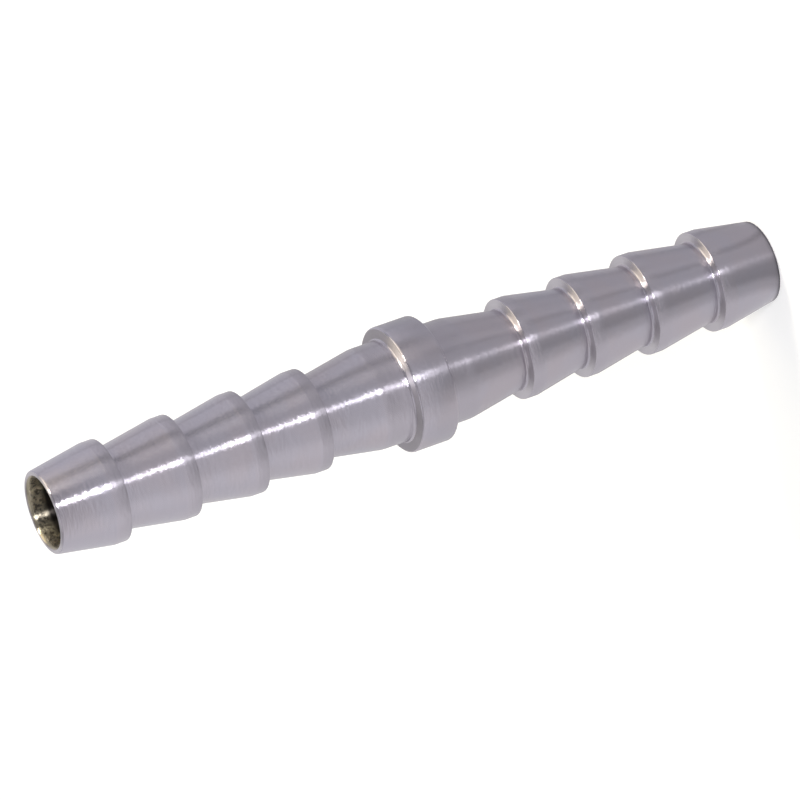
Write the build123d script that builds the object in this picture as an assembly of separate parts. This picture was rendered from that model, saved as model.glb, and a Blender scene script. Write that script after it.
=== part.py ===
from build123d import *
import os

# Hose joiner turned from one bar: two barbed hose tails back to back on a round collar,
# with a bore right through. It stands on the end of its lower tail: the origin is the
# middle of that end, and +Z runs up the bore. Both tails are the same.

# Bore and its mouths
BORE_DIAMETER = 4.8
MOUTH_COUNTERSINK = 0.3     # 45 degrees, as deep as it is wide
MOUTH_RIM = 0.15            # flat ring round each mouth
TIP_EDGE_BREAK = 0.15       # 45 degrees, outside the rim

# Section of a tail, from the bore outwards
FOOT_WALL = 0.525           # thinnest wall, at the foot of each shoulder
BARB_HEIGHT = 0.775         # square shoulder of each barb
FOOT_FILLET = 0.25          # nose radius of the turning tool

# Collar
COLLAR_RISE = 0.9           # above the lands beside it
COLLAR_WIDTH = 2.9
COLLAR_EDGE_BREAK = 0.2

# Length of a tail, from the collar outwards
ROOT_LAND_LENGTH = 2.05     # plain land, as thick as the barbs' crests
ROOT_CONE_LENGTH = 4.4      # from the root land down to the first foot
BARBS_PER_TAIL = 4
BARB_PITCH = 5.0            # between the two shoulders nearest the collar
PITCH_GROWTH = 0.2          # each pitch over the one before it
CREST_LAND = 0.9            # plain top of each barb, at its shoulder
NOSE_CONE_LENGTH = 4.1      # from the last crest land down to the tip

bore_radius = BORE_DIAMETER / 2
mouth_radius = bore_radius + MOUTH_COUNTERSINK
tip_radius = mouth_radius + MOUTH_RIM + TIP_EDGE_BREAK
foot_radius = bore_radius + FOOT_WALL
crest_radius = foot_radius + BARB_HEIGHT
collar_radius = crest_radius + COLLAR_RISE


def shoulder_heights():
    """Height of each barb's shoulder above the middle of the collar, nearest first."""
    heights = [COLLAR_WIDTH / 2 + ROOT_LAND_LENGTH + ROOT_CONE_LENGTH]
    for gap in range(BARBS_PER_TAIL - 1):
        heights.append(heights[-1] + BARB_PITCH + gap * PITCH_GROWTH)
    return heights


shoulders = shoulder_heights()
half_length = shoulders[-1] + CREST_LAND + NOSE_CONE_LENGTH


def collar_corners():
    """Broken edge of the collar and the foot of its face."""
    face = COLLAR_WIDTH / 2
    return [
        (collar_radius, face - COLLAR_EDGE_BREAK),
        (collar_radius - COLLAR_EDGE_BREAK, face),
        (crest_radius, face),
    ]


def barb_corners(shoulder):
    """Foot, crest and end of the crest land of one barb."""
    return [
        (foot_radius, shoulder),
        (crest_radius, shoulder),
        (crest_radius, shoulder + CREST_LAND),
    ]


def tip_corners():
    """Outer edge break, flat rim, countersink and bore of one mouth."""
    return [
        (tip_radius, half_length - TIP_EDGE_BREAK),
        (tip_radius - TIP_EDGE_BREAK, half_length),
        (mouth_radius, half_length),
        (bore_radius, half_length - MOUTH_COUNTERSINK),
    ]


def tail_corners():
    """Corners of one tail's section as radius and height above the middle of the collar."""
    corners = collar_corners()
    corners.append((crest_radius, COLLAR_WIDTH / 2 + ROOT_LAND_LENGTH))
    for shoulder in shoulders:
        corners.extend(barb_corners(shoulder))
    corners.extend(tip_corners())
    return corners


def foot_points():
    """Inside corners that the turning tool leaves rounded, on both tails."""
    feet = [(crest_radius, COLLAR_WIDTH / 2)]
    feet.extend((foot_radius, shoulder) for shoulder in shoulders)
    return [Vector(radius, 0, side * height) for radius, height in feet for side in (1, -1)]


def turned_section():
    """Half section of the whole joiner in the XZ plane, with its feet rounded."""
    upper = [Vector(radius, 0, height) for radius, height in tail_corners()]
    lower = [Vector(corner.X, 0, -corner.Z) for corner in reversed(upper)]
    section = make_face(Polyline(*upper, *lower, close=True))
    feet = foot_points()
    inside = [v for v in section.vertices() if any((Vector(v) - foot).length < 1e-6 for foot in feet)]
    return fillet(inside, FOOT_FILLET)


def joiner_body():
    """The turned body, standing on the end of its lower tail."""
    turned = revolve(turned_section(), Axis.Z)
    return Pos(0, 0, half_length) * turned


def main():
    os.makedirs("parts", exist_ok=True)
    body = joiner_body()
    export_step(body, "parts/joiner_body.step")
    print(f"overall length {2 * half_length:.2f}, collar diameter {2 * collar_radius:.2f}")
    print(f"crest diameter {2 * crest_radius:.2f}, foot {2 * foot_radius:.2f}, tip {2 * tip_radius:.2f}")


main()
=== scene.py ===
"""A double hose barb joiner: one turned and plated piece, standing on its end on a pale floor.

Lengths are in millimetres in the classes and in metres in the meshes. The origin is the middle of
the lower end, and +Z runs up the bore.
"""

import logging
import math
from dataclasses import dataclass
from enum import Enum
from typing import Union

import bmesh
import bpy
from mathutils import Matrix, Vector

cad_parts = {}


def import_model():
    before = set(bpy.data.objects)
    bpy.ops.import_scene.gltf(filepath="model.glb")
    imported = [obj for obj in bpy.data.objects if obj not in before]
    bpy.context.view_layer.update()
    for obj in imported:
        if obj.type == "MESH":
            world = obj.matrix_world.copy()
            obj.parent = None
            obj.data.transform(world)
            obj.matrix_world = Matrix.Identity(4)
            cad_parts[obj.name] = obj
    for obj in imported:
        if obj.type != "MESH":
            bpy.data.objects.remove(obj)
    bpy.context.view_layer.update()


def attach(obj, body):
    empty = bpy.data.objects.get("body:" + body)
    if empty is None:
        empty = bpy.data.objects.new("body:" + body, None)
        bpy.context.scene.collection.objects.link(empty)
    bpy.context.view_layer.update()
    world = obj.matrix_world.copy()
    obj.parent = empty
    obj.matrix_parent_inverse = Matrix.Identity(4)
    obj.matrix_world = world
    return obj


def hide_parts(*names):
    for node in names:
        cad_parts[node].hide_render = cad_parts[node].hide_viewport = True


LOG = logging.getLogger("joiner")
MM = 0.001
ROUND_PROFILE = 0.5
FULL_TURN = 360.0

Feed = Union[bpy.types.NodeSocket, Vector, tuple, float]


# ---------------------------------------------------------------------------------------------
# Node trees
# ---------------------------------------------------------------------------------------------


class NodeTree:
    """A small hand for building a material's or a world's nodes."""

    def __init__(self, tree: bpy.types.NodeTree) -> None:
        """Empties the tree.

        Args:
            tree: the node tree to build in.
        """
        tree.nodes.clear()
        self.tree = tree

    def add(self, kind: str, settings: dict | None = None, **inputs: Feed) -> bpy.types.Node:
        """Adds a node.

        Args:
            kind: the node's type, without the part that all shader nodes share.
            settings: the node's own properties by name.
            inputs: its sockets by name, with underscores for spaces, each a value or an output to link.

        Returns:
            The new node.
        """
        node = self.tree.nodes.new("ShaderNode" + kind)
        for name, value in (settings or {}).items():
            setattr(node, name, value)
        for name, value in inputs.items():
            self.feed(node.inputs[name.replace("_", " ")], value)
        return node

    def feed(self, socket: bpy.types.NodeSocket, value: Feed) -> None:
        """Links an output to a socket, or sets the socket's own value.

        Args:
            socket: the input socket.
            value: an output to link, or a value.
        """
        if isinstance(value, bpy.types.NodeSocket):
            self.tree.links.new(value, socket)
        else:
            socket.default_value = value

    def math(self, operation: str, *values: Feed) -> bpy.types.NodeSocket:
        """Adds a Math node.

        Args:
            operation: what it works out.
            values: its inputs in order.

        Returns:
            Its output.
        """
        node = self.tree.nodes.new("ShaderNodeMath")
        node.operation = operation
        for socket, value in zip(node.inputs, values):
            self.feed(socket, value)
        return node.outputs[0]

    def vector(self, operation: str, *values: Feed) -> bpy.types.NodeSocket:
        """Adds a Vector Math node.

        Args:
            operation: what it works out.
            values: its inputs in order.

        Returns:
            Its vector output.
        """
        node = self.tree.nodes.new("ShaderNodeVectorMath")
        node.operation = operation
        for socket, value in zip(node.inputs, values):
            self.feed(socket, value)
        return node.outputs[0]

    def length(self, value: Feed) -> bpy.types.NodeSocket:
        """Measures the length of a vector.

        Args:
            value: the vector.

        Returns:
            Its length.
        """
        node = self.add("VectorMath", {"operation": "LENGTH"})
        self.feed(node.inputs[0], value)
        return node.outputs["Value"]

    def ramp(self, value: Feed, low: float, high: float) -> bpy.types.NodeSocket:
        """Carries a value smoothly from 0 to 1.

        Args:
            value: the value.
            low: where the result is 0.
            high: where the result is 1, which may be below low.

        Returns:
            The result, from 0 to 1.
        """
        node = self.add("MapRange", {"interpolation_type": "SMOOTHSTEP"}, Value=value)
        node.inputs["From Min"].default_value = low
        node.inputs["From Max"].default_value = high
        return node.outputs["Result"]

    def between(self, value: Feed, low: float, high: float, edge: float) -> bpy.types.NodeSocket:
        """Picks out a span of a value.

        Args:
            value: the value.
            low: the lower end of the span.
            high: the upper end of the span.
            edge: width of the soft edge outside each end.

        Returns:
            1 inside the span and 0 away from it.
        """
        rise = self.ramp(value, low - edge, low)
        fall = self.ramp(value, high + edge, high)
        return self.math("MULTIPLY", rise, fall)

    def scale(self, value: Feed, low: float, high: float) -> bpy.types.NodeSocket:
        """Carries a value from 0..1 to low..high in a straight line.

        Args:
            value: the value, from 0 to 1.
            low: the result at 0.
            high: the result at 1.

        Returns:
            The result.
        """
        node = self.add("MapRange", {"clamp": False}, Value=value)
        node.inputs["To Min"].default_value = low
        node.inputs["To Max"].default_value = high
        return node.outputs["Result"]

    def blend(self, factor: Feed, first: Feed, second: Feed) -> bpy.types.NodeSocket:
        """Mixes two colours.

        Args:
            factor: how much of the second there is, from 0 to 1.
            first: a colour or an output.
            second: a colour or an output.

        Returns:
            The mixed colour.
        """
        node = self.tree.nodes.new("ShaderNodeMix")
        node.data_type = "RGBA"
        sockets = [s for s in node.inputs if s.enabled]
        for socket, value in zip(sockets, (factor, first, second)):
            self.feed(socket, value)
        return next(s for s in node.outputs if s.enabled)

    def noise(self, vector: Feed, scale: float, detail: float = 2.0) -> bpy.types.NodeSocket:
        """Adds a noise texture and returns its even grey output."""
        node = self.add("TexNoise", Vector=vector, Scale=scale, Detail=detail)
        return node.outputs["Fac"]


def colour(red: float, green: float, blue: float) -> tuple[float, float, float, float]:
    """Gives an opaque colour for a socket."""
    return (red, green, blue, 1.0)


# ---------------------------------------------------------------------------------------------
# Finishes
# ---------------------------------------------------------------------------------------------


@dataclass(frozen=True)
class PlatedSizes:
    """The sizes that the plating follows, in mm."""

    bore_radius: float
    crest_radius: float
    collar_width: float
    half_length: float


@dataclass(frozen=True)
class Spot:
    """Outputs that say where on the piece the plating is.

    Attributes:
        centred: the place in mm.
        axes: the same place, separated.
        radius: distance from the axis, in mm.
        from_middle: distance from the collar's middle along the axis, in mm.
        faced: 1 on the shoulders, the collar's faces and the ends.
        inside: 1 on the wall of the bore.
    """

    centred: bpy.types.NodeSocket
    axes: bpy.types.Node
    radius: bpy.types.NodeSocket
    from_middle: bpy.types.NodeSocket
    faced: bpy.types.NodeSocket
    inside: bpy.types.NodeSocket


@dataclass(frozen=True)
class NickelPlate:
    """Thin bright nickel over turned brass: fine tool rings, a warmer tone where it is thin, painted shade
    deep in the bore and on the countersink, and painted light on the faced parts.

    Attributes:
        faced_slope: how far a surface turns to an end before it counts as faced.
        wall_reach, mouth_reach: where the bore's wall and the painted shade on its countersink begin, outside
            the bore.
        crest_reach, crest_edge: the band of radii that are crests, and its soft edge.
        face_reach: how far past the collar's half width its faces are told from the shoulders.
        deep_reach: how far down from an end the bore's wall is painted with shade.
        patch_range, patch_share: how much of the bore's wall has random dark patches, and how dark they are.
        ring_run: how little the tool rings change on the way round.
    """

    name: str = "nickel_plate"
    metal: tuple[float, float, float, float] = colour(0.484, 0.458, 0.533)
    metal_blush: tuple[float, float, float, float] = colour(0.497, 0.455, 0.514)
    crest_metal: tuple[float, float, float, float] = colour(0.490, 0.457, 0.524)
    painted_light_faced_metal: tuple[float, float, float, float] = colour(0.592, 0.555, 0.602)
    painted_shade_sink_metal: tuple[float, float, float, float] = colour(0.400, 0.355, 0.275)
    bore_metal: tuple[float, float, float, float] = colour(0.680, 0.610, 0.490)
    deep_shade_metal: tuple[float, float, float, float] = colour(0.060, 0.052, 0.048)
    roughness: float = 0.235
    roughness_play: float = 0.05
    faced_roughness: float = 0.36
    collar_face_roughness: float = 0.62
    bore_roughness: float = 0.30
    anisotropy: float = 0.98
    faced_slope: tuple[float, float] = (0.75, 0.95)
    wall_reach: tuple[float, float] = (0.14, 0.02)
    mouth_reach: tuple[float, float] = (0.34, 0.22)
    crest_reach: tuple[float, float] = (-0.02, 0.05)
    crest_edge: float = 0.04
    face_reach: tuple[float, float] = (0.4, 0.1)
    deep_reach: tuple[float, float] = (0.8, 1.35)
    blush_scale: float = 0.25
    blush_range: tuple[float, float] = (0.35, 0.65)
    patch_scale: float = 4.2
    patch_range: tuple[float, float] = (0.44, 0.60)
    patch_share: float = 0.72
    ring_run: float = 0.05
    fine_scale: float = 9.0
    fine_detail: float = 3.0
    fine_depth: float = 0.006
    coarse_scale: float = 2.2
    coarse_depth: float = 0.008
    chatter_scale: tuple[float, float, float] = (1.5, 1.5, 4.5)
    chatter_detail: float = 2.5
    chatter_depth: float = 0.023

    def build(self, sizes: PlatedSizes) -> bpy.types.Material:
        """Makes the material.

        Args:
            sizes: the sizes of the piece that it follows.

        Returns:
            The finished material.
        """
        material = bpy.data.materials.new(self.name)
        material.use_nodes = True
        nodes = NodeTree(material.node_tree)
        spot = self.find_spot(nodes, sizes)
        rings = self.ring_place(nodes, spot)
        fine = nodes.noise(rings, self.fine_scale, self.fine_detail)
        shader = nodes.add(
            "BsdfPrincipled",
            Base_Color=self.skin(nodes, spot, sizes),
            Metallic=1.0,
            Roughness=self.shine(nodes, spot, sizes, fine),
            Anisotropic=self.anisotropy,
            Normal=self.tool_marks(nodes, spot, rings, fine),
            Tangent=self.spread_direction(nodes, spot),
        )
        nodes.add("OutputMaterial", Surface=shader.outputs[0])
        return material

    def find_spot(self, nodes: NodeTree, sizes: PlatedSizes) -> Spot:
        """Works out where on the piece the plating is.

        Args:
            nodes: the material's nodes.
            sizes: the piece's sizes.

        Returns:
            The outputs that say so.
        """
        places = nodes.add("TexCoord")
        to_mm = (1 / MM, 1 / MM, 1 / MM)
        centred = nodes.add("Mapping", Vector=places.outputs["Object"], Scale=to_mm).outputs[0]
        axes = nodes.add("SeparateXYZ", Vector=centred)
        flat = nodes.add("CombineXYZ", X=axes.outputs["X"], Y=axes.outputs["Y"]).outputs[0]
        radius = nodes.length(flat)
        height = nodes.math("SUBTRACT", axes.outputs["Z"], sizes.half_length)
        facing = nodes.add("SeparateXYZ", Vector=places.outputs["Normal"]).outputs["Z"]
        wall_start, wall_full = self.wall_reach
        return Spot(
            centred=centred,
            axes=axes,
            radius=radius,
            from_middle=nodes.math("ABSOLUTE", height),
            faced=nodes.ramp(nodes.math("ABSOLUTE", facing), *self.faced_slope),
            inside=nodes.ramp(radius, sizes.bore_radius + wall_start, sizes.bore_radius + wall_full),
        )

    def ring_place(self, nodes: NodeTree, spot: Spot) -> bpy.types.NodeSocket:
        """Gives a place that changes along the piece and hardly at all round it.

        Args:
            nodes: the material's nodes.
            spot: where on the piece the plating is.

        Returns:
            A vector output for the tool rings' noise.
        """
        return nodes.add(
            "CombineXYZ",
            X=nodes.math("MULTIPLY", spot.axes.outputs["X"], self.ring_run),
            Y=nodes.math("MULTIPLY", spot.axes.outputs["Y"], self.ring_run),
            Z=nodes.math("ADD", spot.axes.outputs["Z"], spot.radius),
        ).outputs[0]

    def skin(self, nodes: NodeTree, spot: Spot, sizes: PlatedSizes) -> bpy.types.NodeSocket:
        """Colours the metal: its faint blush, the crests, painted light on the faced parts, painted shade on
        the mouth's countersink, and the bore with painted shade deep inside.

        Args:
            nodes: the material's nodes.
            spot: where on the piece the plating is.
            sizes: the piece's sizes.

        Returns:
            The metal's colour.
        """
        cloud = nodes.noise(spot.centred, self.blush_scale)
        crest_low, crest_high = (sizes.crest_radius + reach for reach in self.crest_reach)
        crest = nodes.between(spot.radius, crest_low, crest_high, self.crest_edge)
        mouth_start, mouth_full = (sizes.bore_radius + reach for reach in self.mouth_reach)
        skin = nodes.blend(nodes.ramp(cloud, *self.blush_range), self.metal, self.metal_blush)
        skin = nodes.blend(crest, skin, self.crest_metal)
        # painted light: the faced parts get a lighter copy of the metal
        skin = nodes.blend(spot.faced, skin, self.painted_light_faced_metal)
        # painted shade: a darker, warmer copy of the metal on the mouth's countersink
        skin = nodes.blend(nodes.ramp(spot.radius, mouth_start, mouth_full), skin, self.painted_shade_sink_metal)
        wall = nodes.blend(self.bore_shade_and_patches(nodes, spot, sizes), self.bore_metal, self.deep_shade_metal)
        return nodes.blend(spot.inside, skin, wall)

    def bore_shade_and_patches(self, nodes: NodeTree, spot: Spot, sizes: PlatedSizes) -> bpy.types.NodeSocket:
        """Paints shade on the bore's wall deep inside, and adds random dark patches.

        Args:
            nodes: the material's nodes.
            spot: where on the piece the plating is.
            sizes: the piece's sizes.

        Returns:
            How dark the wall is, from 0 to 1.
        """
        deep_start, deep_full = (sizes.half_length - reach for reach in self.deep_reach)
        # painted shade deep in the bore
        deep = nodes.ramp(spot.from_middle, deep_start, deep_full)
        # random dark patches on the bore's wall
        patches = nodes.ramp(nodes.noise(spot.centred, self.patch_scale), *self.patch_range)
        return nodes.math("MAXIMUM", deep, nodes.scale(patches, 0.0, self.patch_share))

    def shine(
        self, nodes: NodeTree, spot: Spot, sizes: PlatedSizes, fine: bpy.types.NodeSocket
    ) -> bpy.types.NodeSocket:
        """Roughens the faced parts, most of all the collar's faces, and the bore.

        Args:
            nodes: the material's nodes.
            spot: where on the piece the plating is.
            sizes: the piece's sizes.
            fine: the noise of the fine tool rings.

        Returns:
            The metal's roughness.
        """
        face_start, face_full = (sizes.collar_width / 2 + reach for reach in self.face_reach)
        by_collar = nodes.ramp(spot.from_middle, face_start, face_full)
        collar_face = nodes.math("MULTIPLY", spot.faced, by_collar)
        faced_extra = self.faced_roughness - self.roughness
        collar_extra = self.collar_face_roughness - self.faced_roughness
        bore_extra = self.bore_roughness - self.roughness
        rough = nodes.scale(fine, self.roughness - self.roughness_play, self.roughness + self.roughness_play)
        rough = nodes.math("MULTIPLY_ADD", spot.faced, faced_extra, rough)
        rough = nodes.math("MULTIPLY_ADD", collar_face, collar_extra, rough)
        return nodes.math("MULTIPLY_ADD", spot.inside, bore_extra, rough)

    def tool_marks(
        self, nodes: NodeTree, spot: Spot, rings: bpy.types.NodeSocket, fine: bpy.types.NodeSocket
    ) -> bpy.types.NodeSocket:
        """Presses fine rings, coarse rings and the tool's chatter into the metal.

        Args:
            nodes: the material's nodes.
            spot: where on the piece the plating is.
            rings: the place that the rings' noise reads.
            fine: the noise of the fine tool rings.

        Returns:
            The metal's normal.
        """
        coarse = nodes.noise(rings, self.coarse_scale)
        stretched = nodes.add("Mapping", Vector=spot.centred, Scale=self.chatter_scale).outputs[0]
        chatter = nodes.noise(stretched, 1.0, self.chatter_detail)
        marks = nodes.add("Bump", Strength=1.0, Distance=self.fine_depth * MM, Height=fine).outputs[0]
        for height, depth in ((coarse, self.coarse_depth), (chatter, self.chatter_depth)):
            bump = nodes.add("Bump", Strength=1.0, Distance=depth * MM, Height=height, Normal=marks)
            marks = bump.outputs[0]
        return marks

    def spread_direction(self, nodes: NodeTree, spot: Spot) -> bpy.types.NodeSocket:
        """Gives the direction across the tool rings, in which they spread a highlight.

        Args:
            nodes: the material's nodes.
            spot: where on the piece the plating is.

        Returns:
            A vector output, square to the rings and lying in the surface.
        """
        around_x = nodes.math("MULTIPLY", spot.axes.outputs["Y"], -1.0)
        around = nodes.add("CombineXYZ", X=around_x, Y=spot.axes.outputs["X"]).outputs[0]
        facing = nodes.add("NewGeometry").outputs["Normal"]
        return nodes.vector("NORMALIZE", nodes.vector("CROSS_PRODUCT", around, facing))


@dataclass(frozen=True)
class StudioPaper:
    """Plain white paper for the floor, which stays white to the camera and in the metal.

    Attributes:
        near_lift, far_lift: how much the paper glows near the foot, where the shadow is, and far out.
        reach: distances from the foot between which the glow grows, in mm.
    """

    name: str = "studio_paper"
    white: tuple[float, float, float, float] = colour(0.80, 0.80, 0.80)
    near_lift: float = 0.38
    far_lift: float = 0.52
    reach: tuple[float, float] = (20.0, 130.0)

    def build(self) -> bpy.types.Material:
        """Makes the material, with a glow that leaves the shadow by the foot.

        Returns:
            The finished material.
        """
        material = bpy.data.materials.new(self.name)
        material.use_nodes = True
        nodes = NodeTree(material.node_tree)
        distance = nodes.length(nodes.add("TexCoord").outputs["Object"])
        outward = nodes.ramp(distance, *(reach * MM for reach in self.reach))
        lift = nodes.scale(outward, self.near_lift, self.far_lift)
        strength = nodes.math("MULTIPLY", seen_directly(nodes), lift)
        glow = nodes.add("Emission", Color=colour(1.0, 1.0, 1.0), Strength=strength)
        paper = nodes.add("BsdfDiffuse", Color=self.white)
        both = nodes.add("AddShader")
        nodes.feed(both.inputs[0], paper.outputs[0])
        nodes.feed(both.inputs[1], glow.outputs[0])
        nodes.add("OutputMaterial", Surface=both.outputs[0])
        return material


@dataclass(frozen=True)
class ToneRing:
    """Greys that change with the bearing round the piece, as it mirrors them.

    Attributes:
        stops: bearings in degrees, each with its grey.
        coolness: how much bluer the +X side is.
    """

    stops: tuple[tuple[float, float], ...]
    coolness: float = 0.025

    def build(self, nodes: NodeTree, place: Feed) -> bpy.types.NodeSocket:
        """Adds the ring of greys.

        Args:
            nodes: the node tree to build in.
            place: the place or direction seen from the piece's axis.

        Returns:
            The colour on that bearing.
        """
        axes = nodes.add("SeparateXYZ", Vector=place)
        ahead = nodes.math("MULTIPLY", axes.outputs["Y"], -1.0)
        bearing = nodes.math("ARCTAN2", axes.outputs["X"], ahead)
        share = nodes.math("MULTIPLY_ADD", bearing, 1.0 / math.tau, 0.5)
        ring = nodes.add("ValToRGB", Fac=share)
        band = ring.color_ramp
        band.interpolation = "EASE"
        while len(band.elements) < len(self.stops):
            band.elements.new(0.5)
        for number, (azimuth, level) in enumerate(self.stops):
            band.elements[number].position = azimuth / FULL_TURN + 0.5
            band.elements[number].color = self.tone(azimuth, level)
        return ring.outputs["Color"]

    def tone(self, azimuth: float, level: float) -> tuple[float, float, float, float]:
        """Gives the grey on a bearing, a little cooler on the +X side."""
        cool = 1.0 + self.coolness * math.sin(math.radians(azimuth))
        return colour(level, level, level * cool)


@dataclass(frozen=True)
class PaintedReflectionCard:
    """A glowing card round the foot, toned by bearing, for the metal to mirror: its greys are painted
    reflections of light and shade.

    Attributes:
        foot_shadow_reach: distances between which the card's painted shadow round the foot fades out, in mm.
        foot_shadow_tone: how light the card is in that painted shadow.
        middle_reach: distances between which the near greys change to the middle ones, in mm.
        far_reach: distances between which the middle greys change to the far ones, in mm.
        near, middle: the greys of the two inner rings; their dark dips are painted shadow, and the middle
            ring's bright stripe is a painted highlight.
    """

    name: str = "painted_reflection_card"
    foot_shadow_reach: tuple[float, float] = (3.02, 3.25)
    foot_shadow_tone: float = 0.25
    middle_reach: tuple[float, float] = (45.0, 62.0)
    far_reach: tuple[float, float] = (93.0, 130.0)
    near: ToneRing = ToneRing(
        (
            (-180.0, 0.35),
            (-135.0, 0.82),
            (-68.0, 0.84),
            (-42.0, 0.60),
            (-24.0, 0.40),
            (-12.0, 0.42),
            (10.0, 0.58),
            (32.0, 0.57),
            (42.0, 0.44),
            (54.0, 0.59),
            (95.0, 0.56),
            (110.0, 0.48),
            (125.0, 0.62),
            (180.0, 0.66),
        )
    )
    middle: ToneRing = ToneRing(
        (
            (-180.0, 0.66),
            (-105.0, 0.72),
            (-80.0, 0.72),
            (-60.0, 0.57),
            (-40.0, 0.46),
            (-10.0, 0.44),
            (1.0, 0.48),
            (7.5, 1.00),
            (14.0, 0.50),
            (24.0, 0.47),
            (50.0, 0.46),
            (100.0, 0.49),
            (180.0, 0.54),
        )
    )

    def build(self, far: ToneRing) -> bpy.types.Material:
        """Makes the material.

        Args:
            far: the greys far out, which meet the horizon.

        Returns:
            The finished material.
        """
        material = bpy.data.materials.new(self.name)
        material.use_nodes = True
        nodes = NodeTree(material.node_tree)
        place = nodes.add("TexCoord").outputs["Object"]
        distance = nodes.length(place)
        half_way = nodes.ramp(distance, *(reach * MM for reach in self.middle_reach))
        outward = nodes.ramp(distance, *(reach * MM for reach in self.far_reach))
        out_of_shade = nodes.ramp(distance, *(reach * MM for reach in self.foot_shadow_reach))
        # painted light and shade: the card's greys by bearing, mirrored in the metal
        tone = nodes.blend(half_way, self.near.build(nodes, place), self.middle.build(nodes, place))
        tone = nodes.blend(outward, tone, far.build(nodes, place))
        # painted shadow: the card glows less close to the foot
        glow = nodes.add("Emission", Color=tone, Strength=nodes.scale(out_of_shade, self.foot_shadow_tone, 1.0))
        nodes.add("OutputMaterial", Surface=glow.outputs[0])
        return material


def seen_directly(nodes: NodeTree) -> bpy.types.NodeSocket:
    """Tells what the camera sees, straight or by reflection, from what lights the piece.

    Args:
        nodes: the material's nodes.

    Returns:
        1 for what is seen and 0 for what only gives light.
    """
    path = nodes.add("LightPath")
    mirrored = nodes.math("MAXIMUM", path.outputs["Is Glossy Ray"], path.outputs["Is Transmission Ray"])
    return nodes.math("MAXIMUM", path.outputs["Is Camera Ray"], mirrored)


# ---------------------------------------------------------------------------------------------
# The piece
# ---------------------------------------------------------------------------------------------


class Corner(Enum):
    """Kinds of corner in the turned section, each with how far it is cut back, in mm."""

    PLAIN = 0.0
    FOOT = 0.25
    CREST = 0.08
    LAND = 0.03
    COLLAR = 0.2
    TIP = 0.15
    MOUTH = 0.04


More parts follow.
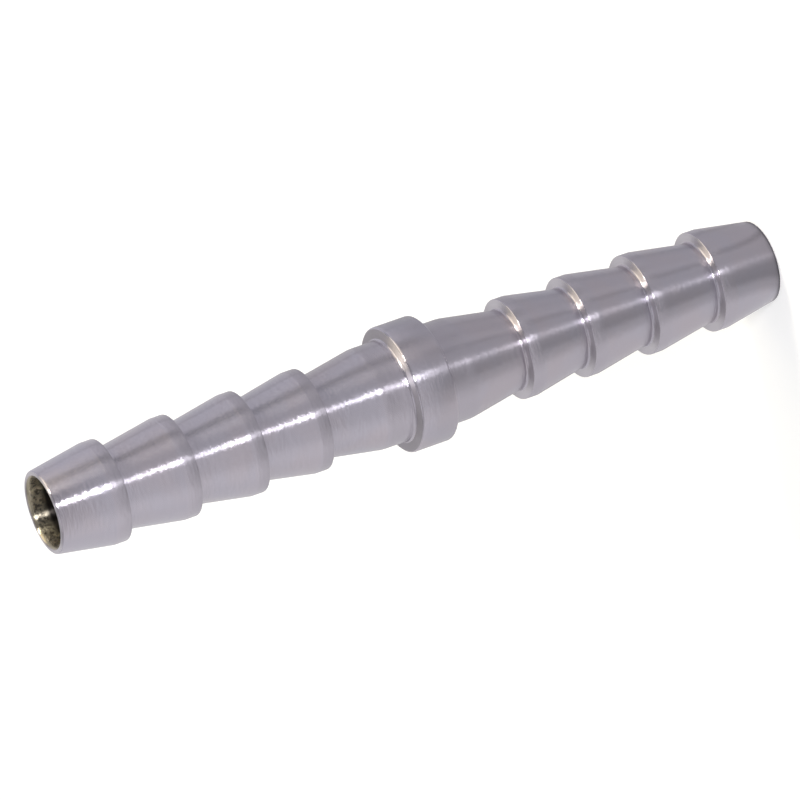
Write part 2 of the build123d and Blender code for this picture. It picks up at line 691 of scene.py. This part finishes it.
@dataclass
class TurnedJoiner:
    """The joiner's body: two barbed tails back to back on a collar, with a bore right through.

    Attributes:
        name: name of the turned piece.
        node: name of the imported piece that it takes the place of.
        mouth_countersink: width and depth of the countersink at each end of the bore.
        mouth_rim, tip_edge_break: flat ring round the mouth, and the break outside it.
        foot_wall: wall between the bore and the foot of a shoulder.
        barb_height, collar_rise: how far the crests stand above the feet, and the collar above them.
        root_land, root_cone: plain length beside the collar, and the cone that leads to the first barb.
        pitch, pitch_growth: spacing of the first two shoulders, and how much it grows each time.
        crest_land, nose_cone: plain length on a crest, and the cone from the last crest to the tip.
        steps_round, steps_corner: how finely the body and its rounded corners are divided.
        weld_gap: points closer than this are joined.
        normal_weight: how strongly large faces steady the shading.
    """

    name: str = "joiner_skin"
    node: str = "joiner_body"
    bore: float = 4.8
    mouth_countersink: float = 0.3
    mouth_rim: float = 0.15
    tip_edge_break: float = 0.15
    foot_wall: float = 0.525
    barb_height: float = 0.775
    collar_rise: float = 0.9
    collar_width: float = 2.9
    root_land: float = 2.05
    root_cone: float = 4.4
    barbs: int = 4
    pitch: float = 5.0
    pitch_growth: float = 0.2
    crest_land: float = 0.9
    nose_cone: float = 4.1
    steps_round: int = 256
    steps_corner: int = 3
    weld_gap: float = 0.0005
    normal_weight: int = 50

    @property
    def foot(self) -> float:
        """Radius at the foot of each shoulder."""
        return self.bore / 2 + self.foot_wall

    @property
    def crest(self) -> float:
        """Radius of the barbs' crests and of the root lands."""
        return self.foot + self.barb_height

    @property
    def shoulders(self) -> list[float]:
        """Heights of a tail's shoulders above the collar's middle.

        Returns:
            The heights, from the collar out.
        """
        first = self.collar_width / 2 + self.root_land + self.root_cone
        heights = [first]
        for barb in range(self.barbs - 1):
            heights.append(heights[-1] + self.pitch + barb * self.pitch_growth)
        return heights

    @property
    def half_length(self) -> float:
        """Height of a tip above the collar's middle."""
        return self.shoulders[-1] + self.crest_land + self.nose_cone

    def tail_corners(self) -> list[tuple[float, float, Corner]]:
        """Lists a tail's corners from the collar's middle out to the bore.

        Returns:
            Radius, height above the collar's middle and kind of each corner.
        """
        rim = self.bore / 2 + self.mouth_countersink
        tip = rim + self.mouth_rim + self.tip_edge_break
        collar = self.crest + self.collar_rise
        corners = [
            (collar, self.collar_width / 2, Corner.COLLAR),
            (self.crest, self.collar_width / 2, Corner.FOOT),
            (self.crest, self.collar_width / 2 + self.root_land, Corner.FOOT),
        ]
        for height in self.shoulders:
            corners.append((self.foot, height, Corner.FOOT))
            corners.append((self.crest, height, Corner.CREST))
            corners.append((self.crest, height + self.crest_land, Corner.LAND))
        top = self.half_length
        corners.append((tip, top, Corner.TIP))
        corners.append((rim, top, Corner.MOUTH))
        corners.append((self.bore / 2, top - self.mouth_countersink, Corner.PLAIN))
        return corners

    def section(self) -> list[tuple[float, float, Corner]]:
        """Lists the whole section's corners, in order round it.

        Returns:
            Radius, height above the lower end and kind of each corner.
        """
        upper = self.tail_corners()
        lower = [(radius, -height, kind) for radius, height, kind in reversed(upper)]
        middle = self.half_length
        return [(radius, middle + height, kind) for radius, height, kind in upper + lower]

    def build(self, finish: bpy.types.Material) -> bpy.types.Object:
        """Turns the section into the body and dresses it.

        Args:
            finish: the material for the whole body.

        Returns:
            The body, at the origin.
        """
        bm = bmesh.new()
        corners = self.section()
        points = [bm.verts.new((radius * MM, 0, height * MM)) for radius, height, kind in corners]
        kinds = dict(zip(points, (kind for radius, height, kind in corners)))
        bm.faces.new(points)
        for kind in Corner:
            if kind is not Corner.PLAIN:
                self.round_corners(bm, [point for point in points if kinds[point] is kind], kind.value)
        bmesh.ops.delete(bm, geom=bm.faces[:], context="FACES_ONLY")
        self.turn(bm)
        mesh = bpy.data.meshes.new(self.name)
        bm.to_mesh(mesh)
        bm.free()
        mesh.polygons.foreach_set("use_smooth", [True] * len(mesh.polygons))
        mesh.materials.append(finish)
        body = bpy.data.objects.new(self.name, mesh)
        bpy.context.scene.collection.objects.link(body)
        even = body.modifiers.new("even_normals", "WEIGHTED_NORMAL")
        even.keep_sharp = False
        even.weight = self.normal_weight
        return body

    def round_corners(self, bm: bmesh.types.BMesh, points: list[bmesh.types.BMVert], cut: float) -> None:
        """Rounds corners of the flat section.

        Args:
            bm: the mesh that holds the section as one face.
            points: the corners.
            cut: how far each corner is cut back, in mm.
        """
        bmesh.ops.bevel(
            bm,
            geom=points,
            offset=cut * MM,
            offset_type="OFFSET",
            segments=self.steps_corner,
            profile=ROUND_PROFILE,
            affect="VERTICES",
            material=-1,
        )

    def turn(self, bm: bmesh.types.BMesh) -> None:
        """Spins the section's outline into a closed shell.

        Args:
            bm: the mesh that holds the outline's edges.
        """
        bmesh.ops.spin(
            bm,
            geom=bm.verts[:] + bm.edges[:],
            cent=(0, 0, 0),
            axis=(0, 0, 1),
            angle=math.tau,
            steps=self.steps_round,
            use_merge=True,
        )
        bmesh.ops.remove_doubles(bm, verts=bm.verts[:], dist=self.weld_gap * MM)
        bmesh.ops.recalc_face_normals(bm, faces=bm.faces[:])


# ---------------------------------------------------------------------------------------------
# The studio
# ---------------------------------------------------------------------------------------------


def from_bearing(azimuth: float, elevation: float) -> Vector:
    """Turns a bearing into a direction.

    Args:
        azimuth: degrees round the piece, with 0 towards -Y and 90 towards +X.
        elevation: degrees above the floor.

    Returns:
        The unit vector that way.
    """
    turn = math.radians(azimuth)
    rise = math.radians(elevation)
    level = math.cos(rise)
    return Vector((math.sin(turn) * level, -math.cos(turn) * level, math.sin(rise)))


@dataclass(frozen=True)
class SoftBox:
    """A flat soft lamp that looks at the piece."""

    name: str
    azimuth: float
    elevation: float
    distance: float
    width: float
    height: float
    brightness: float
    tint: tuple[float, float, float] = (1.0, 1.0, 1.0)

    def build(self, target: Vector) -> bpy.types.Object:
        """Hangs the lamp.

        Args:
            target: the point that it looks at, in metres.

        Returns:
            The lamp.
        """
        lamp = bpy.data.lights.new(self.name, "AREA")
        lamp.shape = "RECTANGLE"
        lamp.size = self.width * MM
        lamp.size_y = self.height * MM
        lamp.color = self.tint
        lamp.energy = self.brightness * math.pi * lamp.size * lamp.size_y
        hung = bpy.data.objects.new(self.name, lamp)
        bpy.context.scene.collection.objects.link(hung)
        back = from_bearing(self.azimuth, self.elevation)
        turn = back.to_track_quat("Z", "Y").to_matrix().to_4x4()
        hung.matrix_world = Matrix.Translation(target + back * self.distance * MM) @ turn
        return hung


@dataclass(frozen=True)
class Studio:
    """The floor, the surroundings and the lamps.

    Attributes:
        floor_drop, card_lift: how far the floor is below the foot and the card above it, in mm.
        ceiling_level: the grey overhead.
        upper_rise, ceiling_rise: sines of the elevations between which the horizon's greys change to
            the upper ones, and those to the ceiling.
        horizon, upper: the greys round the piece, low and higher up.
    """

    floor_radius: float = 2500.0
    floor_drop: float = 0.005
    card_inner: float = 3.05
    card_outer: float = 600.0
    card_lift: float = 0.05
    steps_round: int = 96
    ceiling_level: float = 0.42
    upper_rise: tuple[float, float] = (0.14, 0.30)
    ceiling_rise: tuple[float, float] = (0.40, 0.75)
    horizon: ToneRing = ToneRing(
        (
            (-180.0, 0.78),
            (-110.0, 0.89),
            (-65.0, 1.00),
            (-38.0, 0.88),
            (-10.0, 0.90),
            (28.0, 0.65),
            (53.0, 0.64),
            (70.0, 0.36),
            (87.0, 0.74),
            (104.0, 0.76),
            (113.0, 0.77),
            (119.0, 0.56),
            (125.0, 0.72),
            (180.0, 0.78),
        )
    )
    upper: ToneRing = ToneRing(
        (
            (-180.0, 0.80),
            (-130.0, 0.82),
            (-95.0, 0.82),
            (-60.0, 0.56),
            (-20.0, 0.38),
            (60.0, 0.36),
            (100.0, 0.50),
            (140.0, 0.82),
            (180.0, 0.80),
        )
    )
    lamps: tuple[SoftBox, ...] = (
        SoftBox("front_lamp", 6.0, 22.0, 430.0, 60.0, 60.0, 64.0),
        SoftBox("side_lamp", -60.0, 62.0, 450.0, 300.0, 260.0, 0.5),
        SoftBox("high_lamp", 68.0, 57.0, 430.0, 60.0, 80.0, 30.0, (1.0, 0.95, 0.78)),
        SoftBox("warm_panel", 97.0, 50.0, 440.0, 300.0, 220.0, 2.0, (1.0, 0.90, 0.64)),
        SoftBox("low_panel", 80.0, 23.0, 440.0, 360.0, 60.0, 0.9, (1.0, 0.92, 0.70)),
        SoftBox("low_lamp", 46.0, 23.0, 440.0, 140.0, 60.0, 0.7, (1.0, 0.97, 0.84)),
    )

    def build(self, target: Vector) -> None:
        """Makes the floor, the world and the lamps.

        Args:
            target: the point that the lamps look at, in metres.
        """
        self.lay_floor()
        self.lay_card()
        self.surround()
        for lamp in self.lamps:
            lamp.build(target)
            LOG.info("lamp %s", lamp.name)

    def stage_piece(self, name: str, bm: bmesh.types.BMesh, material: bpy.types.Material) -> bpy.types.Object:
        """Makes a stage object from a mesh, which is used up.

        Args:
            name: its name.
            bm: its mesh.
            material: its material.

        Returns:
            The new object.
        """
        mesh = bpy.data.meshes.new(name)
        bm.to_mesh(mesh)
        bm.free()
        mesh.materials.append(material)
        made = bpy.data.objects.new(name, mesh)
        bpy.context.scene.collection.objects.link(made)
        return made

    def lay_floor(self) -> None:
        """Lays a round sheet of white paper just under the piece."""
        bm = bmesh.new()
        bmesh.ops.create_circle(bm, cap_ends=True, segments=self.steps_round, radius=self.floor_radius * MM)
        bmesh.ops.translate(bm, verts=bm.verts[:], vec=(0, 0, -self.floor_drop * MM))
        self.stage_piece("floor", bm, StudioPaper().build())

    def lay_card(self) -> None:
        """Lays a glowing card round the foot, painted with shadow and highlight, which only the metal sees.
        """
        bm = bmesh.new()
        bmesh.ops.create_circle(bm, cap_ends=True, segments=self.steps_round, radius=self.card_outer * MM)
        width = (self.card_outer - self.card_inner) * MM
        rim = bmesh.ops.inset_region(
            bm,
            faces=bm.faces[:],
            thickness=width,
            use_boundary=True,
            use_even_offset=True,
        )
        middle = [face for face in bm.faces if face not in rim["faces"]]
        bmesh.ops.delete(bm, geom=middle, context="FACES")
        bmesh.ops.translate(bm, verts=bm.verts[:], vec=(0, 0, self.card_lift * MM))
        card = self.stage_piece("card", bm, PaintedReflectionCard().build(self.horizon))
        card.visible_camera = False
        card.visible_diffuse = False
        card.visible_transmission = False
        card.visible_shadow = False

    def surround(self) -> None:
        """Sets soft light from all round: the horizon's greys, the upper ones and the ceiling."""
        world = bpy.data.worlds.new("soft_surround")
        world.use_nodes = True
        nodes = NodeTree(world.node_tree)
        heading = nodes.add("TexCoord").outputs["Generated"]
        rise = nodes.add("SeparateXYZ", Vector=heading).outputs["Z"]
        top = colour(self.ceiling_level, self.ceiling_level, self.ceiling_level)
        low = self.horizon.build(nodes, heading)
        sky = nodes.blend(nodes.ramp(rise, *self.upper_rise), low, self.upper.build(nodes, heading))
        sky = nodes.blend(nodes.ramp(rise, *self.ceiling_rise), sky, top)
        light = nodes.add("Background", Color=sky, Strength=1.0)
        nodes.add("OutputWorld", Surface=light.outputs[0])
        bpy.context.scene.world = world


@dataclass(frozen=True)
class StudioCamera:
    """The camera, turned on its side so that the standing piece lies across the picture.

    Attributes:
        distance: how far it is from the piece's middle, in mm.
        roll_sine, roll_cosine: how far it is turned on its side.
        aim_right, aim_up: how far it is moved in its own picture, in mm.
        clip: the nearest and the farthest that it sees, in metres.
    """

    azimuth: float = 0.0
    elevation: float = 21.4
    distance: float = 436.8
    lens: float = 281.25
    sensor: float = 36.0
    clip: tuple[float, float] = (0.01, 10.0)
    roll_sine: float = -0.943
    roll_cosine: float = -0.332
    aim_right: float = -0.67
    aim_up: float = -1.11

    def build(self, target: Vector) -> bpy.types.Object:
        """Sets up the camera.

        Args:
            target: the middle of the piece, in metres.

        Returns:
            The camera.
        """
        back = from_bearing(self.azimuth, self.elevation)
        level = Vector((0, 0, 1)).cross(back).normalized()
        upright = back.cross(level)
        right = level * self.roll_cosine + upright * self.roll_sine
        up = upright * self.roll_cosine - level * self.roll_sine
        turn = Matrix((right, up, back)).transposed().to_4x4()
        place = target + (back * self.distance + right * self.aim_right + up * self.aim_up) * MM
        data = bpy.data.cameras.new("studio_camera")
        data.lens = self.lens
        data.sensor_width = self.sensor
        data.clip_start, data.clip_end = self.clip
        camera = bpy.data.objects.new("studio_camera", data)
        bpy.context.scene.collection.objects.link(camera)
        camera.matrix_world = Matrix.Translation(place) @ turn
        bpy.context.scene.camera = camera
        return camera


# ---------------------------------------------------------------------------------------------
# Putting it together
# ---------------------------------------------------------------------------------------------


def main() -> None:
    """Builds the joiner and its studio in order, and reports each piece."""
    logging.basicConfig(level=logging.INFO, format="%(name)s: %(message)s")
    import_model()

    joiner = TurnedJoiner()
    sizes = PlatedSizes(joiner.bore / 2, joiner.crest, joiner.collar_width, joiner.half_length)
    body = joiner.build(NickelPlate().build(sizes))
    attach(body, "root")
    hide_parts(joiner.node)
    LOG.info("piece %s: %d faces", body.name, len(body.data.polygons))

    middle = Vector((0, 0, joiner.half_length * MM))
    Studio().build(middle)
    StudioCamera().build(middle)
    bpy.context.scene.view_settings.view_transform = "Standard"

    bpy.context.view_layer.update()


if __name__ == "__main__":
    main()
